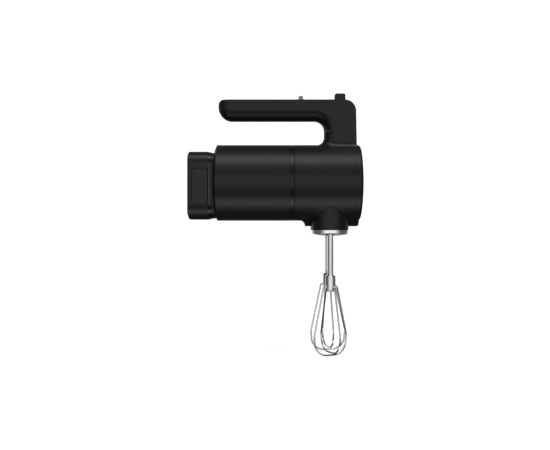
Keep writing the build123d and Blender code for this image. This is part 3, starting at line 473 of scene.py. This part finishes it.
# ------------------------------------------------------------------ sizes and colours
class MixerFinishes(bpy.types.PropertyGroup):
    """Colours and surface of the mixer's visible pieces."""

    body_colour: FloatVectorProperty(
        name="Body colour", description="Colour of the housing, handle and battery case",
        subtype="COLOR", size=3, min=0, max=1, default=(0.0085, 0.0085, 0.0087))
    trim_colour: FloatVectorProperty(
        name="Trim colour", description="Colour of the seam band and the buttons",
        subtype="COLOR", size=3, min=0, max=1, default=(0.007, 0.007, 0.0071))
    gloss_colour: FloatVectorProperty(
        name="Gloss colour", description="Colour of the polished battery neck and speed track",
        subtype="COLOR", size=3, min=0, max=1, default=(0.004, 0.004, 0.004))
    lever_colour: FloatVectorProperty(
        name="Lever colour", description="Colour of the speed lever and its marks",
        subtype="COLOR", size=3, min=0, max=1, default=(0.36, 0.36, 0.365))
    chrome_colour: FloatVectorProperty(
        name="Chrome colour", description="Colour of the plated collar and beaters",
        subtype="COLOR", size=3, min=0, max=1, default=(0.88, 0.885, 0.89))
    body_roughness: FloatProperty(
        name="Body roughness", description="How matte the soft-touch plastic is",
        subtype="FACTOR", min=0, max=1, default=0.4)
    grain_depth: FloatProperty(
        name="Grain depth", description="Depth of the moulded grain on the body",
        unit="LENGTH", min=0, precision=6, default=0.000012)


class MixerFittings(bpy.types.PropertyGroup):
    """Sizes of the small pieces that are modelled here."""

    spring_turns: IntProperty(
        name="Spring turns", description="Turns of the beater release spring", min=3, max=12, default=6)
    spring_wire: FloatProperty(
        name="Spring wire", description="Diameter of the release spring's wire",
        unit="LENGTH", min=0.0004, precision=5, default=0.0012)
    lever_cap_height: FloatProperty(
        name="Lever cap height", description="Height of the speed lever above its track",
        unit="LENGTH", min=0.002, precision=5, default=0.0056)
    lever_ribs: IntProperty(
        name="Lever ribs", description="Grip ribs across the speed lever", min=2, max=4, default=3)
    cap_ridges: IntProperty(
        name="Eject ridges", description="Thumb ridges across the beater release",
        min=2, max=5, default=4)
    speed_marks: IntProperty(
        name="Speed marks", description="Printed marks beside the speed lever", min=3, max=9, default=6)


class MixerStudio(bpy.types.PropertyGroup):
    """Camera, lamps and floor."""

    distance: FloatProperty(
        name="Camera distance", description="From the camera to the middle of the mixer",
        unit="LENGTH", min=0.3, default=0.9)
    offset: FloatProperty(
        name="Camera offset", description="Camera's place along the barrel, from the grip's middle",
        unit="LENGTH", default=0.0039)
    drop: FloatProperty(
        name="Camera drop", description="How far the camera is below the barrel's middle",
        unit="LENGTH", default=0.0483)
    lens: FloatProperty(
        name="Lens", description="Focal length", unit="CAMERA", min=20, default=51.2)
    floor_gap: FloatProperty(
        name="Floor gap", description="Space between the beaters and the floor",
        unit="LENGTH", min=0, default=0.002)
    key_power: FloatProperty(
        name="Overhead lamp", description="Power of the soft box above the front",
        unit="POWER", min=0, default=6.5)
    low_power: FloatProperty(
        name="Low lamp", description="Power of the soft box below the front",
        unit="POWER", min=0, default=3.5)
    air_brightness: FloatProperty(
        name="Air brightness", description="Brightness of the pale band round the horizon",
        min=0, default=1.0)


# ------------------------------------------------------------------ finishes for the CAD pieces
class MIXER_OT_shells(bpy.types.Operator):
    """Give the shells, buttons, neck and speed track their moulded finishes"""

    bl_idname = "mixer.shells"
    bl_label = "Finish the shells"

    def execute(self, context):
        look = context.scene.mixer_finishes
        body = soft_touch(
            "Soft-touch body plastic", look.body_colour, look.body_roughness, look.grain_depth)
        dress(body, "barrel_shell", "head_shell", "nose_cap", "dock_collar", "battery_case",
              "handle_left_shell", "handle_right_shell")
        trim = soft_touch("Satin trim plastic", look.trim_colour, look.body_roughness - 0.08,
                          look.grain_depth / 2)
        dress(trim, "seam_band", "eject_button", "left_release_button", "right_release_button")
        dress(gloss_plastic("Polished black plastic", look.gloss_colour), "battery_cover", "speed_track")
        return {"FINISHED"}


class MIXER_OT_metalwork(bpy.types.Operator):
    """Give the collar, beaters, shafts, screws and springs their metal finishes"""

    bl_idname = "mixer.metalwork"
    bl_label = "Finish the metalwork"

    def execute(self, context):
        look = context.scene.mixer_finishes
        dress(chrome("Polished collar chrome", look.chrome_colour), "boss_collar")
        wires = chrome("Plated beater wire", look.chrome_colour, roughness=0.13)
        for side in ("left", "right"):
            dress(wires, f"{side}_beater_collar", f"{side}_outer_loop", f"{side}_inner_loop")
        dress(turned_chrome("Ground beater shaft", look.chrome_colour),
              "left_beater_shaft", "right_beater_shaft")
        dress(brushed("Ground steel", (0.55, 0.55, 0.56), 0.24, stretch=(14, 1, 1)),
              "motor_shaft", "worm", "left_spindle", "right_spindle",
              "left_push_pin", "right_push_pin", "ejector_rod")
        dress(brushed("Zinc-plated steel", (0.56, 0.58, 0.60), 0.34, stretch=(1, 3, 3)),
              "handle_screws", "frame_screws", "pack_screws", "motor_can")
        dress(brushed("Hardened spring steel", (0.33, 0.34, 0.37), 0.3, stretch=(3, 3, 3)),
              "release_springs", "left_beater_clip", "right_beater_clip")
        dress(copper_alloy("Sintered bronze"), "shaft_bearings", "spindle_bushes")
        return {"FINISHED"}


class MIXER_OT_drive(bpy.types.Operator):
    """Give the gears, the gear frame, the fan and the ejector fork their plastic finishes"""

    bl_idname = "mixer.drive"
    bl_label = "Finish the drive"

    def execute(self, context):
        dress(acetal("Natural acetal"), "left_worm_wheel", "right_worm_wheel")
        dress(filled_nylon("Glass-filled nylon", (0.09, 0.09, 0.095)),
              "gear_frame", "motor_end_cap", "dock_sleeve", "terminal_block", "cell_holder",
              "speed_switch")
        dress(filled_nylon("Natural glass-filled nylon", (0.50, 0.47, 0.40)),
              "cooling_fan", "ejector_fork")
        return {"FINISHED"}


class MIXER_OT_electrics(bpy.types.Operator):
    """Give the motor windings, magnets, boards, contacts and cells their finishes"""

    bl_idname = "mixer.electrics"
    bl_label = "Finish the electrics"

    def execute(self, context):
        dress(stacked_steel("Stacked core steel"), "armature_core")
        dress(wound_copper("Enamelled winding wire"), "armature_windings")
        dress(sintered("Ferrite and carbon"), "motor_magnets", "motor_brushes")
        dress(copper_alloy("Tinned copper contacts", (0.72, 0.62, 0.45)),
              "terminal_blades", "battery_contacts", "commutator")
        dress(circuit_board("Circuit board laminate"), "control_board")
        dress(filled_nylon("Component moulding", (0.03, 0.03, 0.032), 0.36), "board_components")
        dress(cell_sleeve("Cell sleeve"), "battery_cells")
        return {"FINISHED"}


# ------------------------------------------------------------------ pieces modelled here
class MIXER_OT_eject_spring(bpy.types.Operator):
    """Wind the beater release spring, with its end coils ground flat"""

    bl_idname = "mixer.eject_spring"
    bl_label = "Wind the eject spring"

    def execute(self, context):
        fittings = context.scene.mixer_fittings
        low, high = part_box("eject_spring")
        centre = (low + high) / 2
        wire = fittings.spring_wire
        turns = fittings.spring_turns
        height = high.z - low.z
        coil_radius = (high.x - low.x) / 2 - wire / 2
        steps_per_turn = 40
        clear_selection()
        bpy.ops.mesh.primitive_circle_add(
            vertices=16, radius=wire / 2, location=(0, 0, 0), rotation=(math.pi / 2, 0, 0))
        coil = bpy.context.active_object
        coil.location.x = coil_radius
        bpy.ops.object.transform_apply(location=True, rotation=True, scale=True)
        apply_modifier(coil, "SCREW", {
            "axis": "Z", "screw_offset": height / turns, "iterations": turns,
            "steps": steps_per_turn, "render_steps": steps_per_turn,
            "use_merge_vertices": False})
        coil.location = (centre.x, centre.y, low.z)
        activate(coil)
        bpy.ops.object.transform_apply(location=True, rotation=True, scale=True)
        bpy.ops.object.mode_set(mode="EDIT")
        for level, upward in ((low.z, False), (high.z, True)):
            bpy.ops.mesh.select_all(action="SELECT")
            bpy.ops.mesh.bisect(plane_co=(centre.x, centre.y, level), plane_no=(0, 0, 1), use_fill=True,
                                clear_outer=upward, clear_inner=not upward)
        bpy.ops.mesh.select_all(action="SELECT")
        bpy.ops.mesh.remove_doubles(threshold=0.001 * MM)
        bpy.ops.mesh.normals_make_consistent(inside=False)
        bpy.ops.object.mode_set(mode="OBJECT")
        steel = brushed("Oiled spring wire", (0.38, 0.39, 0.41), 0.28, stretch=(3, 3, 3))
        settle(coil, "eject_spring_coil", steel, "housing")
        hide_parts("eject_spring")
        1 - travel_of("eject_press") / height
        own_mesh(coil)
        return {"FINISHED"}


class MIXER_OT_eject_ridges(bpy.types.Operator):
    """Raise thumb ridges across the top of the beater release"""

    bl_idname = "mixer.eject_ridges"
    bl_label = "Raise the eject ridges"

    def execute(self, context):
        look = context.scene.mixer_finishes
        count = context.scene.mixer_fittings.cap_ridges
        low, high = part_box("eject_button")
        pitch = 1.7 * MM
        ridge = (0.75 * MM, 7.0 * MM, 0.7 * MM)
        sunk = 0.05 * MM
        middle = high.x - 6.1 * MM
        first = rounded_bar(ridge, (middle - pitch * (count - 1) / 2, 0, high.z - sunk), 0.22 * MM)
        ridges = row_of(first, count, pitch)
        grip = soft_touch("Ridge plastic", look.trim_colour, look.body_roughness, look.grain_depth)
        settle(ridges, "eject_ridges", grip, "ejector")
        return {"FINISHED"}


class MIXER_OT_speed_lever(bpy.types.Operator):
    """Model the ribbed speed lever with the stem that reaches its switch"""

    bl_idname = "mixer.speed_lever"
    bl_label = "Model the speed lever"

    def execute(self, context):
        look = context.scene.mixer_finishes
        fittings = context.scene.mixer_fittings
        low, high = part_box("speed_lever")
        centre = (low + high) / 2
        rib_rise = 0.4 * MM
        rib_pitch = 1.05 * MM
        foot = high.z - fittings.lever_cap_height
        crown = high.z - rib_rise
        length, width = high.x - low.x, high.y - low.y
        cap = start_block((length, width, crown - foot), (centre.x, 0, (foot + crown) / 2))
        middle = cap.location
        crown_taper = (0.6, 0.88, 1)
        select_faces(cap, lambda place, normal: normal.z > FACES_UP)
        bpy.ops.transform.resize(value=crown_taper, center_override=(middle.x, middle.y, crown))
        stem_inset = 1.1 * MM
        stem_taper = (1, 0.34, 1)
        select_faces(cap, lambda place, normal: normal.z < -FACES_UP)
        bpy.ops.mesh.inset(thickness=stem_inset, depth=0)
        bpy.ops.transform.resize(value=stem_taper, center_override=(middle.x, middle.y, foot))
        bpy.ops.mesh.extrude_region_move(TRANSFORM_OT_translate={"value": (0, 0, low.z - foot)})
        above_foot = foot - middle.z + 0.02 * MM
        select_edges(cap, lambda a, b: max(a.z, b.z) > above_foot)
        bpy.ops.mesh.bevel(offset=0.55 * MM, segments=4, profile=0.5)
        bpy.ops.object.mode_set(mode="OBJECT")
        count = fittings.lever_ribs
        rib = (0.6 * MM, 0.78 * width, 2 * rib_rise)
        first = rounded_bar(rib, (centre.x - rib_pitch * (count - 1) / 2, 0, crown), 0.2 * MM)
        lever = join([cap, row_of(first, count, rib_pitch)])
        plastic = soft_touch("Lever plastic", look.lever_colour, 0.38, look.grain_depth)
        settle(lever, "speed_lever_ribbed", plastic, "speed_control")
        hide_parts("speed_lever")
        return {"FINISHED"}


class MIXER_OT_speed_marks(bpy.types.Operator):
    """Print marks of growing length beside the speed lever's slot"""

    bl_idname = "mixer.speed_marks"
    bl_label = "Print the speed marks"

    def execute(self, context):
        look = context.scene.mixer_finishes
        count = context.scene.mixer_fittings.speed_marks
        low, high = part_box("speed_track")
        lever_low, lever_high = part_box("speed_lever")
        start = (lever_low.x + lever_high.x) / 2
        step = travel_of("speed_slide") / (count - 1)
        edge = low.y + 0.5 * MM
        shortest, growth = 0.7 * MM, 0.75 * MM
        width, thickness, corner = 0.42 * MM, 0.05 * MM, 0.02 * MM
        marks = []
        for i in range(count):
            length = shortest + growth * i / (count - 1)
            place = (start + step * i, edge + length / 2, high.z)
            marks.append(rounded_bar((width, length, thickness), place, corner))
        ink = scale_ink("Pad-print ink", look.lever_colour)
        settle(join(marks), "speed_marks", ink, "housing")
        return {"FINISHED"}


# ------------------------------------------------------------------ stage
def add_panel(name, target, elevation, reach, size, power):
    """A soft box in front of the mixer at an angle above the horizon, unseen by the camera."""
    slant = math.radians(elevation)
    place = target + Vector((0, -math.cos(slant), math.sin(slant))) * reach
    turn = (target - place).to_track_quat("-Z", "X").to_euler()
    bpy.ops.object.light_add(type="AREA", location=place, rotation=turn)
    panel = bpy.context.active_object
    panel.name = name
    panel.data.shape = "RECTANGLE"
    panel.data.size, panel.data.size_y = size
    panel.data.energy = power
    panel.visible_camera = False


class MIXER_OT_studio(bpy.types.Operator):
    """Set the mixer in a pale round studio with soft boxes and a level camera"""

    bl_idname = "mixer.studio"
    bl_label = "Build the studio"

    def execute(self, context):
        studio = context.scene.mixer_studio
        self.add_floor(cad_box[0].z - studio.floor_gap)
        barrel_low, barrel_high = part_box("barrel_shell")
        target = Vector((20 * MM, 0, (barrel_low.z + barrel_high.z) / 2))
        add_panel("overhead_box", target, 70, 1.2, (0.5, 1.6), studio.key_power)
        add_panel("low_box", target, -64, 1.1, (0.4, 1.5), studio.low_power)
        context.scene.world = self.add_air(studio.air_brightness)
        context.scene.view_settings.view_transform = "Standard"
        place = (studio.offset, -studio.distance, target.z - studio.drop)
        bpy.ops.object.camera_add(location=place, rotation=(math.pi / 2, 0, 0))
        camera = bpy.context.active_object
        camera.name = "studio_camera"
        camera.data.sensor_width = 36
        camera.data.lens = studio.lens
        camera.data.clip_start = 0.01
        context.scene.camera = camera
        return {"FINISHED"}

    def add_air(self, strength):
        """Light from all round: a pale band at the horizon, dim above, below and to the sides."""
        world = bpy.data.worlds.new("studio_air")
        world.use_nodes = True
        network = Network(world.node_tree)
        heading = network.node("ShaderNodeTexCoord", output="Generated")
        upward = network.node("ShaderNodeSeparateXYZ", {}, {"Vector": heading}, output="Z")
        sideways = network.node("ShaderNodeSeparateXYZ", {}, {"Vector": heading}, output="X")
        height = network.node("ShaderNodeMapRange", {}, {"Value": upward, "From Min": -1})
        levels = ((0.0, 0.02), (0.3, 0.05), (0.42, 0.7), (0.5, 1.0), (0.6, 0.8), (0.72, 0.16), (1.0, 0.1))
        stops = [(position, (level, level, level, 1)) for position, level in levels]
        band = network.node("ShaderNodeValToRGB", {"stops": stops}, {"Fac": height})
        flank = network.node("ShaderNodeMapRange", {}, {
            "Value": sideways.math("ABSOLUTE"), "From Min": 0.45, "From Max": 0.9,
            "To Min": 1, "To Max": 0.12})
        glow = network.node("ShaderNodeVectorMath", {"operation": "SCALE"},
                            {"Vector": band, "Scale": flank})
        air = network.find("BACKGROUND")
        air.inputs["Strength"].default_value = strength
        network.tree.links.new(glow.socket, air.inputs["Color"])
        return world

    def add_floor(self, height):
        """A round floor that sweeps up into a wall."""
        radius, wall, sweep = 3.2, 3.0, 1.2
        clear_selection()
        bpy.ops.mesh.primitive_circle_add(
            vertices=96, radius=radius, fill_type="NGON", location=(0, 0, height))
        bowl = bpy.context.active_object
        bpy.ops.object.mode_set(mode="EDIT")
        bpy.ops.mesh.select_mode(type="EDGE")
        bpy.ops.mesh.select_all(action="SELECT")
        bpy.ops.mesh.region_to_loop()
        bpy.ops.mesh.extrude_region_move(TRANSFORM_OT_translate={"value": (0, 0, wall)})
        select_edges(bowl, lambda a, b: max(a.z, b.z) < 0.1)
        bpy.ops.mesh.bevel(offset=sweep, segments=12, profile=0.5)
        bpy.ops.object.mode_set(mode="OBJECT")
        bowl.name = "studio_floor"
        bowl.data.name = "studio_floor"
        bpy.ops.object.shade_smooth()
        bpy.ops.object.transform_apply(location=True, rotation=True, scale=True)
        paper = Finish("Seamless white paper", (0.9, 0.9, 0.9), 0.9)
        paper.shader.inputs["Emission Color"].default_value = (1, 1, 1, 1)
        paper.shader.inputs["Emission Strength"].default_value = 0.85
        paper.shade(paper.noise(3, detail=2), 0.98, 1.02)
        bowl.data.materials.append(paper.material)
        bowl.visible_diffuse = bowl.visible_glossy = bowl.visible_shadow = False


# ------------------------------------------------------------------ panel and registration
class MIXER_PT_sidebar(bpy.types.Panel):
    """Sizes, colours and steps of the hand mixer"""

    bl_idname = "MIXER_PT_sidebar"
    bl_label = "Hand Mixer"
    bl_space_type = "VIEW_3D"
    bl_region_type = "UI"
    bl_category = "Hand Mixer"

    def draw(self, context):
        layout = self.layout
        for name in ("mixer_finishes", "mixer_fittings", "mixer_studio"):
            group = getattr(context.scene, name)
            box = layout.box()
            for key in group.__annotations__:
                box.prop(group, key)
        column = layout.column(align=True)
        for step in STEPS:
            column.operator(step.bl_idname)


GROUPS = {"mixer_finishes": MixerFinishes, "mixer_fittings": MixerFittings, "mixer_studio": MixerStudio}
STEPS = (
    MIXER_OT_shells,
    MIXER_OT_metalwork,
    MIXER_OT_drive,
    MIXER_OT_electrics,
    MIXER_OT_eject_spring,
    MIXER_OT_eject_ridges,
    MIXER_OT_speed_marks,
    MIXER_OT_speed_lever,
    MIXER_OT_studio,
)


def register():
    for group in GROUPS.values():
        bpy.utils.register_class(group)
    for name, group in GROUPS.items():
        setattr(bpy.types.Scene, name, PointerProperty(type=group))
    for step in STEPS:
        bpy.utils.register_class(step)
    bpy.utils.register_class(MIXER_PT_sidebar)


def unregister():
    bpy.utils.unregister_class(MIXER_PT_sidebar)
    for step in reversed(STEPS):
        bpy.utils.unregister_class(step)
    for name in GROUPS:
        delattr(bpy.types.Scene, name)
    for group in reversed(GROUPS.values()):
        bpy.utils.unregister_class(group)


def main():
    register()
    bpy.ops.mixer.shells()
    bpy.ops.mixer.metalwork()
    bpy.ops.mixer.drive()
    bpy.ops.mixer.electrics()
    bpy.ops.mixer.eject_spring()
    bpy.ops.mixer.eject_ridges()
    bpy.ops.mixer.speed_marks()
    bpy.ops.mixer.speed_lever()
    bpy.ops.mixer.studio()


if __name__ == "__main__":
    main()
